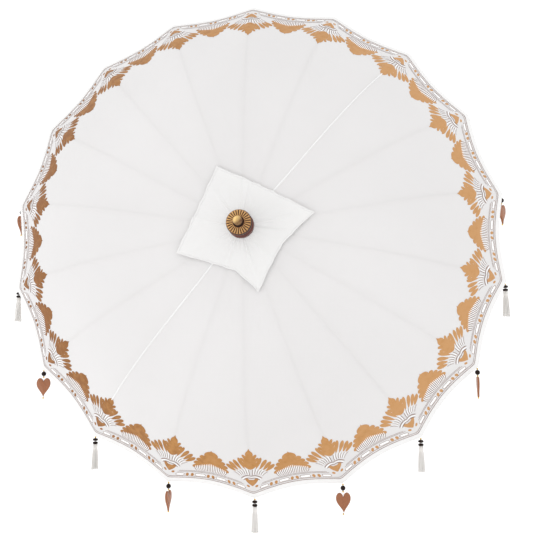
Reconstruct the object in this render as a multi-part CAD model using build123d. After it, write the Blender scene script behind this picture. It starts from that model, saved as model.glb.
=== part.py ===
"""A large painted cotton parasol with 18 bowed ribs on wooden hinges, a sliding runner, a turned finial,
a square cap cloth and eighteen small pendants: wooden hearts and cotton tassels by turns.

The parasol lies with its pole level along Y. The origin is the centre of the pole's foot end, the crown
points towards -Y, and the pendants hang towards -Z. The frame is drawn upright first, with its axis
along Z and its foot at zero, and upright() then lays it down. All sizes are in millimetres.
"""
from build123d import *
import os
from math import atan2, cos, degrees, hypot, radians, sin

# The spread parasol
RIBS = 18
STEP = 360 / RIBS
TIP_R = 1250.0  # axis to rib tip
SCALLOP = 30.0  # how far the cloth's edge curves in past the straight line between two tips
TIP_PLANE = 2145.0  # height of the rib tips above the pole's foot
# Radius and height above the tips of the cloth over a rib: a small peak, a flat shoulder, a steep rim
CLOTH_LINE = ((0, 484), (120, 445), (360, 405), (620, 375), (860, 308), (980, 245), (1100, 153), (1250, 0))
CLOTH_T = 1.2
CENTRE_HOLE_R = 12.0

# Ribs and stretchers
PIVOT_R = 52.0  # axis to the hinges at the notch and at the runner
RIB_W = 12.0
RIB_DEPTH = 14.0
RIB_BELOW_CLOTH = 2.5
TONGUE_W = 5.4
TONGUE_L = 45.0
SLOT_W = 6.4
KNUCKLE_R = 6.5
RIB_PIVOT_R = 700.0  # axis to the hinge between a rib and its stretcher, open
RIB_SLOT_L = 96.0
STRETCHER_W = 9.0
STRETCHER_DEPTH = 11.0
PIN_R = 1.5
PIN_HOLE_R = 1.7
FOLD_DEG = 68.0  # how far a rib swings from open to closed

# Pole, in two lengths inside a metal sleeve
POLE_R = 19.0
FOOT_R = 18.0  # the pole's foot is turned down to stand in a tube or socket
FOOT_L = 300.0
POLE_JOINT = 1150.0
SLEEVE_R = 21.0
SLEEVE_L = 120.0
SLEEVE_PIN_R = 2.5
SLEEVE_PIN_OFFSET = 35.0

# Notch, at the top of the pole, and the sliding runner
FLANGE_R = 60.0
SLOT_FLOOR_R = 42.0
CORE_R = 38.0
NOTCH_BELOW = 70.0
NOTCH_FLANGE_BELOW = 12.0
NOTCH_FLANGE_ABOVE = 5.5
POLE_IN_NOTCH = 2.0
RUNNER_BORE_R = 20.2
RUNNER_ABOVE = 40.0
RUNNER_BELOW = 60.0
RUNNER_FLANGE_HALF = 9.0

# Spring catch under the runner
CATCH_W = 6.0
CATCH_L = 75.0
CATCH_OUT_R = 27.0
CATCH_LEAF_T = 2.0
CATCH_NOSE_H = 45.0
CATCH_GAP = 0.4  # play on each side of the leaf in its mortise

# Cap cloth and finial
CAP_SIDE = 460.0
CAP_TURN = -27.0  # turn of the square cloth: its corners stand 18 degrees before the first rib and so on
CAP_ABOVE = 3.0
DOWEL_R = 8.0
BASE_R = 58.0
BASE_EDGE_H = 10.0
BASE_SHOULDER_H = 15.0
BASE_TOP_R = 46.0
BASE_WAIST_R = 34.0
SKIRT_R = 46.0  # inside radius of the ring under the finial's foot, which stands over the peak of the cloth
SKIRT_DROP = 12.0
BASE_H = 52.0
DISC_R = 57.0
DISC_H = 24.0
DISC_FLUTES = 24
FLUTE_R = 3.2
NECK_R = 12.0
NECK_H = 12.0
BALL_R = 21.0
BALL_SEAT = 3.0  # how deep the neck is let into the ball

# Pendants
THREAD_R = 0.8
THREAD_L = 7.0
GOLD_BEAD_R = 4.5
DARK_BEAD_R = 13.0
DARK_BEAD_H = 13.0
DARK_BALL_R = 12.0
CORD_R = 3.5
CORD_L = 3.0
TASSEL_TOP_R = 10.0
TASSEL_END_R = 17.0
TASSEL_L = 125.0
HEART_LOBE_R = 19.5
HEART_LOBE_X = 16.0
HEART_DROP = 76.0
HEART_POINT_R = 2.0
HEART_T = 10.0
HEART_NOTCH = 7.1  # the thread's length down to the notch between the lobes
HEART_TURNS = (25, -30, 55, 86, 8, 82, 4, 80, 35)
PENDANT_BEHIND = 18.0  # the pendants hang this far behind the rib tips, clear of the ribs and the cloth

cloth_line = Spline(*[(r, 0, TIP_PLANE + z) for r, z in CLOTH_LINE])


def cloth_height(radius):
    """Height of the cloth line at a radius, by halving."""
    low, high = 0.0, 1.0
    for _ in range(50):
        middle = (low + high) / 2
        if (cloth_line @ middle).X < radius:
            low = middle
        else:
            high = middle
    return (cloth_line @ low).Z


NOTCH_Z = cloth_height(PIVOT_R) - RIB_BELOW_CLOTH - KNUCKLE_R
RIB_PIVOT_Z = cloth_height(RIB_PIVOT_R) - RIB_BELOW_CLOTH - RIB_DEPTH / 2
RUNNER_Z = 2 * RIB_PIVOT_Z - NOTCH_Z
ARM = hypot(RIB_PIVOT_R - PIVOT_R, NOTCH_Z - RIB_PIVOT_Z)  # notch hinge to rib hinge, and stretcher length
OPEN_ANGLE = degrees(atan2(NOTCH_Z - RIB_PIVOT_Z, RIB_PIVOT_R - PIVOT_R))
TRAVEL = 2 * ARM * (sin(radians(OPEN_ANGLE + FOLD_DEG)) - sin(radians(OPEN_ANGLE)))
CROWN_Z = TIP_PLANE + CLOTH_LINE[0][1]


def upright(shape):
    """Lays a shape drawn upright down along -Y."""
    return Rot(90, 0, 0) * shape


def write(name, *shapes):
    solids = [solid for shape in shapes for solid in shape.solids()]
    whole = solids[0] if len(solids) == 1 else Compound(children=solids)
    whole.label = name
    export_step(whole, f"parts/{name}.step")


def tube(radius, low, high):
    return Pos(0, 0, (low + high) / 2) * Cylinder(radius, high - low)


def cross_pin(radius, length, x, z):
    """A cylinder along Y."""
    return Pos(x, 0, z) * Rot(90, 0, 0) * Cylinder(radius, length)


def block(x0, x1, y0, y1, z0, z1):
    return Pos((x0 + x1) / 2, (y0 + y1) / 2, (z0 + z1) / 2) * Box(x1 - x0, y1 - y0, z1 - z0)


def band_under(above, below):
    """The face between the cloth line raised by above and the same line raised by below."""
    top = cloth_line.moved(Location((0, 0, above)))
    bottom = cloth_line.moved(Location((0, 0, below)))
    return make_face([top, Line(top @ 1, bottom @ 1), bottom, Line(bottom @ 0, top @ 0)])


def thin_sides(x0, x1, z0, z1):
    """The blocks that cut a bar down to a tongue's width."""
    outer = RIB_W
    return [
        block(x0, x1, TONGUE_W / 2, outer, z0, z1),
        block(x0, x1, -outer, -TONGUE_W / 2, z0, z1),
    ]


def rib():
    """One bowed rib along +X, with its knuckle in the notch and the pin of its stretcher."""
    low, high = TIP_PLANE - 100, CROWN_Z + 100
    bar = extrude(band_under(-RIB_BELOW_CLOTH, -RIB_BELOW_CLOTH - RIB_DEPTH), RIB_W / 2, both=True)
    bar -= block(-1, PIVOT_R, -RIB_W, RIB_W, low, high)
    bar += cross_pin(KNUCKLE_R, RIB_W, PIVOT_R, NOTCH_Z)
    for side in thin_sides(0, PIVOT_R + TONGUE_L, low, high):
        bar -= side
    half = RIB_SLOT_L / 2
    bar -= block(RIB_PIVOT_R - half, RIB_PIVOT_R + half, -SLOT_W / 2, SLOT_W / 2, low, high)
    bar -= cross_pin(PIN_HOLE_R, RIB_W, PIVOT_R, NOTCH_Z)
    bar -= cross_pin(PIN_R, RIB_W, RIB_PIVOT_R, RIB_PIVOT_Z)
    return bar, cross_pin(PIN_R, RIB_W, RIB_PIVOT_R, RIB_PIVOT_Z)


def stretcher():
    """One straight stretcher along +X, from the runner to its rib, with the stub pin of its runner end."""
    bar = extrude(Plane.XZ * SlotCenterToCenter(ARM, STRETCHER_DEPTH), STRETCHER_W / 2, both=True)
    end = ARM / 2
    reach = STRETCHER_DEPTH
    for x0, x1 in ((-end - reach, -end + TONGUE_L), (end - TONGUE_L, end + reach)):
        for side in thin_sides(x0, x1, -reach, reach):
            bar -= side
    bar -= cross_pin(PIN_HOLE_R, RIB_W, end, 0)
    bar -= cross_pin(PIN_R, RIB_W, -end, 0)
    stub = cross_pin(PIN_R, TONGUE_W, -end, 0)
    middle = Pos((PIVOT_R + RIB_PIVOT_R) / 2, 0, (RUNNER_Z + RIB_PIVOT_Z) / 2)
    return [middle * Rot(0, -OPEN_ANGLE, 0) * piece for piece in (bar, stub)]


def slots(z0, z1):
    """The radial slots that take the ribs' or the stretchers' tongues."""
    one = block(SLOT_FLOOR_R, FLANGE_R + 5, -SLOT_W / 2, SLOT_W / 2, z0, z1)
    return [Rot(0, 0, 90 - STEP * k) * one for k in range(RIBS)]


def hinge_wire():
    return Pos(0, 0, NOTCH_Z) * Torus(PIVOT_R, PIN_R)


def notch():
    """The wooden crown that the ribs hinge in, with a blind bore for the pole and one for the finial."""
    flange_low, flange_high = NOTCH_Z - NOTCH_FLANGE_BELOW, NOTCH_Z + NOTCH_FLANGE_ABOVE
    body = tube(FLANGE_R, flange_low, flange_high)
    for slot in slots(flange_low - 1, flange_high + 1):
        body -= slot
    body -= hinge_wire()
    body += tube(CORE_R, NOTCH_Z - NOTCH_BELOW, flange_low)
    peak_h = CROWN_Z - 6 - flange_high
    body += Pos(0, 0, flange_high + peak_h / 2) * Cone(CORE_R, CENTRE_HOLE_R, peak_h)
    body -= tube(POLE_R, NOTCH_Z - NOTCH_BELOW - 1, NOTCH_Z + POLE_IN_NOTCH)
    body -= tube(DOWEL_R, NOTCH_Z + POLE_IN_NOTCH, CROWN_Z)
    return body


def runner():
    body = tube(CORE_R, RUNNER_Z - RUNNER_BELOW, RUNNER_Z + RUNNER_ABOVE)
    body += tube(FLANGE_R, RUNNER_Z - RUNNER_FLANGE_HALF, RUNNER_Z + RUNNER_FLANGE_HALF)
    for slot in slots(RUNNER_Z - RUNNER_FLANGE_HALF - 1, RUNNER_Z + RUNNER_FLANGE_HALF + 1):
        body -= slot
    body -= tube(RUNNER_BORE_R, RUNNER_Z - RUNNER_BELOW - 1, RUNNER_Z + RUNNER_ABOVE + 1)
    return body


def sleeve_pins():
    heights = (POLE_JOINT - SLEEVE_PIN_OFFSET, POLE_JOINT + SLEEVE_PIN_OFFSET)
    return [cross_pin(SLEEVE_PIN_R, 2 * SLEEVE_R, 0, z) for z in heights]


def pole():
    """The two lengths of the pole. The upper one has a mortise for the spring catch."""
    lower = tube(FOOT_R, 0, FOOT_L) + tube(POLE_R, FOOT_L, POLE_JOINT)
    upper = tube(POLE_R, POLE_JOINT, NOTCH_Z + POLE_IN_NOTCH)
    for pin in sleeve_pins():
        lower -= pin
        upper -= pin
    top = RUNNER_Z - RUNNER_BELOW
    width = CATCH_W / 2 + CATCH_GAP
    upper -= block(POLE_R / 2, POLE_R + 1, -width, width, top - CATCH_L - 2, top + 2)
    return lower, upper


def sleeve():
    low, high = POLE_JOINT - SLEEVE_L / 2, POLE_JOINT + SLEEVE_L / 2
    ring = tube(SLEEVE_R, low, high) - tube(POLE_R, low - 1, high + 1)
    for pin in sleeve_pins():
        ring -= pin
    return ring


def catch():
    """A leaf spring in the pole's mortise, whose nose stops the open runner."""
    top = RUNNER_Z - RUNNER_BELOW - 0.5
    low_r = POLE_R / 2
    outline = Polyline(
        (low_r, 0, top - CATCH_L),
        (low_r + CATCH_LEAF_T, 0, top - CATCH_L),
        (low_r + CATCH_LEAF_T, 0, top - CATCH_NOSE_H),
        (CATCH_OUT_R, 0, top - CATCH_LEAF_T),
        (CATCH_OUT_R, 0, top),
        (low_r, 0, top),
        close=True,
    )
    return extrude(make_face(outline), CATCH_W / 2, both=True)


def canopy():
    """The cloth over the ribs, cut to a concave edge between each two rib tips."""
    cloth = revolve(band_under(CLOTH_T, 0), Axis.Z)
    chord_half = TIP_R * sin(radians(STEP / 2))
    edge_r = (chord_half**2 + SCALLOP**2) / (2 * SCALLOP)
    centre = TIP_R * cos(radians(STEP / 2)) - SCALLOP + edge_r
    height = CROWN_Z - TIP_PLANE + 200
    cutter = Pos(centre, 0, TIP_PLANE + height / 2 - 100) * Cylinder(edge_r, height)
    cutters = [Rot(0, 0, 90 - STEP * (k + 0.5)) * cutter for k in range(RIBS)]
    return cloth - cutters - tube(CENTRE_HOLE_R, TIP_PLANE, CROWN_Z + 100)


def cap_cloth():
    """The square cloth laid over the crown."""
    sheet = revolve(band_under(CAP_ABOVE + CLOTH_T, CAP_ABOVE), Axis.Z)
    square = Pos(0, 0, CROWN_Z) * Rot(0, 0, CAP_TURN) * Box(CAP_SIDE, CAP_SIDE, 400)
    return (sheet & square) - tube(CENTRE_HOLE_R, TIP_PLANE, CROWN_Z + 100)


def finial():
    """Turned foot with its dowel, fluted disc, and ball on a neck."""
    foot_z = CROWN_Z + CAP_ABOVE + CLOTH_T + 1
    disc_z = foot_z + BASE_H
    neck_z = disc_z + DISC_H
    waist_z = foot_z + 0.55 * BASE_H
    shoulder = (BASE_TOP_R, 0, foot_z + BASE_SHOULDER_H)
    lip = (BASE_TOP_R, 0, disc_z)
    edge = (BASE_R, 0, foot_z + BASE_EDGE_H)
    side = Polyline((0, 0, foot_z), (BASE_R, 0, foot_z), edge, shoulder)
    waist = ThreePointArc(shoulder, (BASE_WAIST_R, 0, waist_z), lip)
    close = Polyline(lip, (0, 0, disc_z), (0, 0, foot_z))
    foot = revolve(make_face([*side.edges(), waist, *close.edges()]), Axis.Z)
    foot += tube(BASE_R, foot_z - SKIRT_DROP, foot_z) - tube(SKIRT_R, foot_z - SKIRT_DROP - 1, foot_z)
    foot += tube(DOWEL_R, NOTCH_Z + POLE_IN_NOTCH, foot_z)

    rim_z = disc_z + DISC_H / 2
    lens = make_face([
        ThreePointArc((BASE_TOP_R, 0, disc_z), (DISC_R - 1, 0, disc_z + 5), (DISC_R, 0, rim_z)),
        ThreePointArc((DISC_R, 0, rim_z), (DISC_R - 6, 0, neck_z - 4), (NECK_R, 0, neck_z)),
        Line((NECK_R, 0, neck_z), (0, 0, neck_z)),
        Line((0, 0, neck_z), (0, 0, disc_z)),
        Line((0, 0, disc_z), (BASE_TOP_R, 0, disc_z)),
    ])
    disc = revolve(lens, Axis.Z)
    flute = Pos(DISC_R + 1, 0, rim_z) * Cylinder(FLUTE_R, DISC_H + 2)
    disc -= [Rot(0, 0, 360 / DISC_FLUTES * k) * flute for k in range(DISC_FLUTES)]

    ball_z = neck_z + NECK_H + BALL_R - BALL_SEAT
    ball = tube(NECK_R, neck_z, ball_z) + Pos(0, 0, ball_z) * Sphere(BALL_R)
    return foot, disc, ball


def drop(radius, length, depth):
    """A cylinder hung along -Z from a depth below its rib tip."""
    return Pos(0, 0, -depth - length / 2) * Cylinder(radius, length)


def bead(radius, depth):
    return Pos(0, 0, -depth - radius) * Sphere(radius)


def heart(depth, turn):
    """Two leaning lobes joined in a point, standing in a vertical plane."""
    lobes = []
    for side in (-1, 1):
        lobe = Pos(side * HEART_LOBE_X, -HEART_LOBE_R) * Circle(HEART_LOBE_R)
        point = Pos(0, -HEART_LOBE_R - HEART_DROP) * Circle(HEART_POINT_R)
        lobes.append(make_hull([*lobe.edges(), *point.edges()]))
    outline = lobes[0] + lobes[1]
    return Pos(0, 0, -depth) * Rot(0, 0, turn) * extrude(Plane.XZ * outline, HEART_T / 2, both=True)


def pendants():
    """Every pendant's pieces, sorted by kind."""
    kinds = {name: [] for name in ("threads", "gold_beads", "dark_beads", "tassels", "hearts")}
    for k in range(RIBS):
        angle = radians(STEP * k)
        place = Pos(TIP_R * sin(angle), PENDANT_BEHIND - TIP_PLANE, TIP_R * cos(angle))
        depth = THREAD_L
        kinds["threads"].append(place * drop(THREAD_R, THREAD_L, 0))
        kinds["gold_beads"].append(place * bead(GOLD_BEAD_R, depth))
        depth += 2 * GOLD_BEAD_R
        if k % 2:
            kinds["dark_beads"].append(place * drop(DARK_BEAD_R, DARK_BEAD_H, depth))
            depth += DARK_BEAD_H
            kinds["threads"].append(place * drop(CORD_R, CORD_L, depth))
            depth += CORD_L
            kinds["dark_beads"].append(place * drop(DARK_BEAD_R, DARK_BEAD_H, depth))
            depth += DARK_BEAD_H
            skirt = Cone(TASSEL_END_R, TASSEL_TOP_R, TASSEL_L)
            kinds["tassels"].append(place * Pos(0, 0, -depth - TASSEL_L / 2) * skirt)
        else:
            kinds["dark_beads"].append(place * bead(DARK_BALL_R, depth))
            depth += 2 * DARK_BALL_R
            kinds["gold_beads"].append(place * bead(GOLD_BEAD_R, depth))
            depth += 2 * GOLD_BEAD_R
            kinds["threads"].append(place * drop(THREAD_R, HEART_NOTCH, depth))
            kinds["hearts"].append(place * heart(depth, HEART_TURNS[k // 2]))
            depth += HEART_LOBE_R + HEART_DROP + HEART_POINT_R
            kinds["gold_beads"].append(place * bead(GOLD_BEAD_R, depth))
    return kinds


def main():
    os.makedirs("parts", exist_ok=True)
    rib_pieces = rib()
    stretcher_pieces = stretcher()
    for k in range(RIBS):
        turn = Rot(0, 0, 90 - STEP * k)
        write(f"rib_{k + 1:02d}", *[upright(turn * piece) for piece in rib_pieces])
        write(f"stretcher_{k + 1:02d}", *[upright(turn * piece) for piece in stretcher_pieces])
    lower, upper = pole()
    foot, disc, ball = finial()
    drawn_upright = {
        "pole_lower": [lower],
        "pole_upper": [upper],
        "pole_sleeve": [sleeve()],
        "sleeve_pins": sleeve_pins(),
        "top_notch": [notch()],
        "notch_wire": [hinge_wire()],
        "runner": [runner()],
        "spring_catch": [catch()],
        "canopy": [canopy()],
        "cap_cloth": [cap_cloth()],
        "finial_foot": [foot],
        "finial_disc": [disc],
        "finial_ball": [ball],
    }
    for name, shapes in drawn_upright.items():
        write(name, *[upright(shape) for shape in shapes])
    for name, shapes in pendants().items():
        write(name, *shapes)
    print(f"notch {NOTCH_Z:.3f} rib pivot {RIB_PIVOT_Z:.3f} runner {RUNNER_Z:.3f}")
    print(f"arm {ARM:.3f} open angle {OPEN_ANGLE:.3f} travel {TRAVEL:.3f}")


main()
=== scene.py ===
"""Looks of the painted cotton parasol: cloth gores that fold with the ribs, a painted gold border, the cap
cloth, the gilt finial, the hanging hearts and tassels, and the wood and metal of the frame.

Everything is in metres. The pole lies along Y and the crown faces -Y. A place on the parasol is given by
its radius from the pole, its azimuth clockwise from +Z seen from the front, and its height towards -Y.
"""
import math
import random

import bmesh
import bpy
import numpy as np
from mathutils import Matrix, Vector
from mathutils.geometry import delaunay_2d_cdt


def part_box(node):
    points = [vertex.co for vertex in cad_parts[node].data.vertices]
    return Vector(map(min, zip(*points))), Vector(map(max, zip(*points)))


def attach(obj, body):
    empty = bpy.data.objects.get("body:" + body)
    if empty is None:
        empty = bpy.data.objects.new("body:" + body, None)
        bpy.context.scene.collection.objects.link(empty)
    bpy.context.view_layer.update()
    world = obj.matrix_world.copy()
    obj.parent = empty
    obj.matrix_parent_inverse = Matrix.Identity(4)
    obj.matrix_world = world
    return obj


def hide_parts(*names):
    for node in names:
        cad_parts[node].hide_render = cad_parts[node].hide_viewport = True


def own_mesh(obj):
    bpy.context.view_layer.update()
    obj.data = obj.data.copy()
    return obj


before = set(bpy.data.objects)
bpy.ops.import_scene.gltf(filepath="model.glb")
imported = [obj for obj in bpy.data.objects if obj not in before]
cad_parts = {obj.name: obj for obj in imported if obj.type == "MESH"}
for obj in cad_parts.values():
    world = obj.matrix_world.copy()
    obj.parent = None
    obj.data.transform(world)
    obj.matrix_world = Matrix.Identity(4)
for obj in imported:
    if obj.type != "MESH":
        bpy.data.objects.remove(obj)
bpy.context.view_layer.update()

# ---------------------------------------------------------------- sizes from the frame
RIBS = 18
RAYS = 26  # carved round the face of the finial's disc
DISC_RIM_R = 0.057
STEP = math.radians(360 / RIBS)
TIP_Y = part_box("canopy")[1].y
TIP_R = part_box("canopy")[1].z
DISC_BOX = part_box("finial_disc")
BALL_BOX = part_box("finial_ball")

# The cloth, measured inwards from its edge along a rib
EDGE_BAND = 0.037  # plain cloth outside the painted border
SCALLOP = 0.042  # how far the edge curves in at the middle of a panel
SCALLOP_FULL = 0.10  # the border follows the scallop unchanged as far as this,
SCALLOP_END = 0.60  # and the cloth is regular again from here on
SAG = 0.006
CREASE = 0.035  # softness of the fold over a rib, as a share of a panel
CENTRE_R = 0.058  # cloth inside this radius stays on the notch
HOLE_R = 0.012
PAINT_LIFT = 0.0005
NORMAL_STEP = 0.002  # how far apart the points are that give the cloth's normal

# ---------------------------------------------------------------- the cloth's shape


def cubic_through(xs, ys):
    """A natural cubic spline through points, as a function of an array."""
    xs, ys = np.asarray(xs, float), np.asarray(ys, float)
    n, h = len(xs), np.diff(xs)
    m = np.zeros((n, n))
    rhs = np.zeros(n)
    m[0, 0] = m[-1, -1] = 1
    for i in range(1, n - 1):
        m[i, i - 1 : i + 2] = h[i - 1], 2 * (h[i - 1] + h[i]), h[i]
        rhs[i] = 6 * ((ys[i + 1] - ys[i]) / h[i] - (ys[i] - ys[i - 1]) / h[i - 1])
    bend = np.linalg.solve(m, rhs)

    def value(x):
        x = np.asarray(x, float)
        i = np.clip(np.searchsorted(xs, x) - 1, 0, n - 2)
        a, b = xs[i + 1] - x, x - xs[i]
        curved = (bend[i] * a**3 + bend[i + 1] * b**3) / (6 * h[i])
        straight = (ys[i] / h[i] - bend[i] * h[i] / 6) * a + (ys[i + 1] / h[i] - bend[i + 1] * h[i] / 6) * b
        return curved + straight

    return value


def mesh_points(obj):
    found = np.empty(len(obj.data.vertices) * 3, np.float32)
    obj.data.vertices.foreach_get("co", found)
    return found.reshape(-1, 3).astype(float)


def cloth_profile():
    """Y of the cloth's outer face over a rib, by radius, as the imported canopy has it."""
    points = mesh_points(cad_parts["canopy"])
    radius = np.hypot(points[:, 0], points[:, 2])
    samples = []
    for low in np.arange(0.012, TIP_R + 0.001, 0.035):
        near = np.where(np.abs(radius - low) < 0.016)[0]
        if len(near):
            best = near[np.argmin(np.abs(radius[near] - low))]
            ring = near[np.abs(radius[near] - radius[best]) < 0.0002]
            samples.append((radius[best], points[ring, 1].min()))
    tips = np.where(radius > TIP_R - 0.0002)[0]
    samples.append((TIP_R, points[tips, 1].min()))
    kept = [samples[0]]
    for r, y in samples[1:]:
        if r > kept[-1][0] + 0.012:
            kept.append((r, y))
    return cubic_through(*zip(*kept))


cloth_y = cloth_profile()
RADII = np.linspace(0.0, TIP_R, 2001)
ARC = np.concatenate([[0], np.cumsum(np.hypot(np.diff(RADII), np.diff(cloth_y(RADII))))])
FULL_ARC = ARC[-1]


def radius_at(v):
    """Radius of the point of a rib that lies v inwards from its tip."""
    return np.interp(FULL_ARC - v, ARC, RADII)


def arc_at(radius):
    return FULL_ARC - float(np.interp(radius, RADII, ARC))


def smooth(x):
    x = np.clip(x, 0, 1)
    return x * x * (3 - 2 * x)


def scalloped_radius(u, v):
    """Radius v inwards from the scalloped edge, where u is the share of a panel from the nearer rib."""
    fade = 1 - smooth((v - SCALLOP_FULL) / (SCALLOP_END - SCALLOP_FULL))
    return radius_at(v + SCALLOP * 4 * u * (1 - u) * fade)


def cloth_at(k, w, v, lift=0.0):
    """Points of the cloth beside rib k, w of a panel to one side and v inwards from the edge."""
    w, v = np.broadcast_arrays(np.asarray(w, float), np.asarray(v, float))
    if np.any(lift):
        here = cloth_at(k, w, v)
        side = cloth_at(k, w + NORMAL_STEP, v) - here
        inward = cloth_at(k, w, v + NORMAL_STEP) - here
        normal = np.cross(side, inward)
        normal /= np.linalg.norm(normal, axis=-1, keepdims=True)
        outward = np.where(normal[..., 1:2] > 0, -1.0, 1.0)
        return here + normal * outward * np.asarray(lift)[..., None]
    across = np.abs(w)
    u = np.where(across <= 0.5, across, 1 - across)
    r = scalloped_radius(u, v)
    soft = (np.sqrt(across**2 + CREASE**2) - CREASE) / (2 * (math.sqrt(0.25 + CREASE**2) - CREASE))
    soft = np.where(across <= 0.5, soft, across)
    a = STEP * k
    radial = r - soft * r * (1 - math.cos(STEP))
    tangent = w * r * math.sin(STEP)
    y = cloth_y(r) + SAG * (r / TIP_R) * np.sin(math.pi * u) ** 2
    x = radial * math.sin(a) + tangent * math.cos(a)
    z = radial * math.cos(a) - tangent * math.sin(a)
    return np.stack([x, y, z], -1)


# ---------------------------------------------------------------- making and placing pieces


def new_mesh(name, points, faces, material, shade=True):
    mesh = bpy.data.meshes.new(name)
    mesh.from_pydata([tuple(p) for p in np.asarray(points, float)], [], [tuple(map(int, f)) for f in faces])
    mesh.validate()
    mesh.update()
    if shade:
        mesh.polygons.foreach_set("use_smooth", [True] * len(mesh.polygons))
    obj = bpy.data.objects.new(name, mesh)
    bpy.context.scene.collection.objects.link(obj)
    mesh.materials.append(material)
    return obj


def grid_faces(rows, columns, closed=False):
    faces = []
    for i in range(rows - 1):
        for j in range(columns if closed else columns - 1):
            n = (j + 1) % columns
            faces.append((i * columns + j, i * columns + n, (i + 1) * columns + n, (i + 1) * columns + j))
    return faces


def lathe(outline, turns=64):
    """Points and faces of a turned shape about Y. The outline is a list of (radius, y)."""
    points, rows = [], len(outline)
    for r, y in outline:
        for j in range(turns):
            a = 2 * math.pi * j / turns
            points.append((r * math.sin(a), y, r * math.cos(a)))
    return points, grid_faces(rows, turns, closed=True)


def join(parts):
    """The points and faces of several shapes as those of one."""
    points, faces = [], []
    for p, f in parts:
        faces += [tuple(i + len(points) for i in face) for face in f]
        points += list(p)
    return points, faces


def fold_with(obj, k):
    """The piece rides on rib k, with a mesh of its own."""
    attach(obj, f"rib_{k + 1:02d}")
    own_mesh(obj)


# ---------------------------------------------------------------- materials


class Shader:
    """A material's node tree, with short ways to add nodes."""

    def __init__(self, name):
        self.material = bpy.data.materials.new(name)
        self.material.use_nodes = True
        self.tree = self.material.node_tree
        self.tree.nodes.clear()
        self.out = self.tree.nodes.new("ShaderNodeOutputMaterial")

    def node(self, kind, **values):
        made = self.tree.nodes.new(kind)
        for key, value in values.items():
            setattr(made, key, value)
        return made

    def link(self, a, b):
        self.tree.links.new(a, b)

    def place(self, kind="Object"):
        return self.node("ShaderNodeTexCoord").outputs[kind]

    def noise(self, scale, detail=3.0, stretch=None, rough=0.5):
        n = self.node("ShaderNodeTexNoise")
        n.inputs["Scale"].default_value = scale
        n.inputs["Detail"].default_value = detail
        n.inputs["Roughness"].default_value = rough
        where = self.place()
        if stretch:
            m = self.node("ShaderNodeMapping")
            m.inputs["Scale"].default_value = stretch
            self.link(where, m.inputs["Vector"])
            where = m.outputs["Vector"]
        self.link(where, n.inputs["Vector"])
        return n.outputs["Fac"]

    def ramp(self, source, *stops):
        r = self.node("ShaderNodeValToRGB")
        elements = r.color_ramp.elements
        while len(elements) < len(stops):
            elements.new(0.5)
        for element, (at, colour) in zip(elements, stops):
            element.position = at
            element.color = (*colour, 1)
        self.link(source, r.inputs["Fac"])
        return r.outputs["Color"]

    def maths(self, operation, a, b=None):
        m = self.node("ShaderNodeMath", operation=operation)
        for socket, value in zip(m.inputs, (a, b)):
            if value is None:
                continue
            if isinstance(value, (int, float)):
                socket.default_value = value
            else:
                self.link(value, socket)
        return m.outputs[0]

    def scaled(self, source, low, high):
        m = self.node("ShaderNodeMapRange")
        m.inputs["To Min"].default_value = low
        m.inputs["To Max"].default_value = high
        self.link(source, m.inputs["Value"])
        return m.outputs["Result"]

    def bump(self, height, strength, distance, after=None):
        b = self.node("ShaderNodeBump")
        b.inputs["Strength"].default_value = strength
        b.inputs["Distance"].default_value = distance
        self.link(height, b.inputs["Height"])
        if after:
            self.link(after, b.inputs["Normal"])
        return b.outputs["Normal"]

    def principled(self, colour, rough=0.5, metal=0.0, normal=None, coat=0.0, sheen=0.0, gloss=0.5):
        p = self.node("ShaderNodeBsdfPrincipled")
        p.inputs["Specular IOR Level"].default_value = gloss
        p.inputs["Metallic"].default_value = metal
        p.inputs["Coat Weight"].default_value = coat
        p.inputs["Sheen Weight"].default_value = sheen
        if isinstance(colour, tuple):
            p.inputs["Base Color"].default_value = (*colour, 1)
        else:
            self.link(colour, p.inputs["Base Color"])
        if isinstance(rough, (int, float)):
            p.inputs["Roughness"].default_value = rough
        else:
            self.link(rough, p.inputs["Roughness"])
        if normal:
            self.link(normal, p.inputs["Normal"])
        return p.outputs["BSDF"]

    def mixed(self, share, a, b):
        m = self.node("ShaderNodeMixShader")
        m.inputs[0].default_value = share
        self.link(a, m.inputs[1])
        self.link(b, m.inputs[2])
        return m.outputs[0]

    def done(self, surface):
        self.link(surface, self.out.inputs["Surface"])
        return self.material


def weave(s, threads_per_m, strength):
    """A plain weave's bump, from two crossed waves."""
    heights = []
    for direction in ("X", "Z"):
        wave = s.node("ShaderNodeTexWave", wave_type="BANDS", bands_direction=direction)
        wave.inputs["Scale"].default_value = threads_per_m / 20
        wave.inputs["Distortion"].default_value = 0.6
        wave.inputs["Detail"].default_value = 1.0
        s.link(s.place(), wave.inputs["Vector"])
        heights.append(wave.outputs["Fac"])
    crossed = s.maths("MULTIPLY", heights[0], heights[1])
    return s.bump(crossed, strength, 0.0004)


def cotton(name, bright, dull, through, see, threads=1100):
    """Woven cotton that lets light through. The cloth is mottled softly and has a fine weave."""
    s = Shader(name)
    mottled = s.ramp(s.noise(1.7, 4.0), (0.35, dull), (0.65, bright))
    normal = weave(s, threads, 0.25)
    face = s.principled(mottled, rough=0.92, normal=normal, sheen=0.15)
    back = s.node("ShaderNodeBsdfTranslucent")
    back.inputs["Color"].default_value = (*through, 1)
    s.link(normal, back.inputs["Normal"])
    return s.done(s.mixed(see, face, back.outputs[0]))


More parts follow.
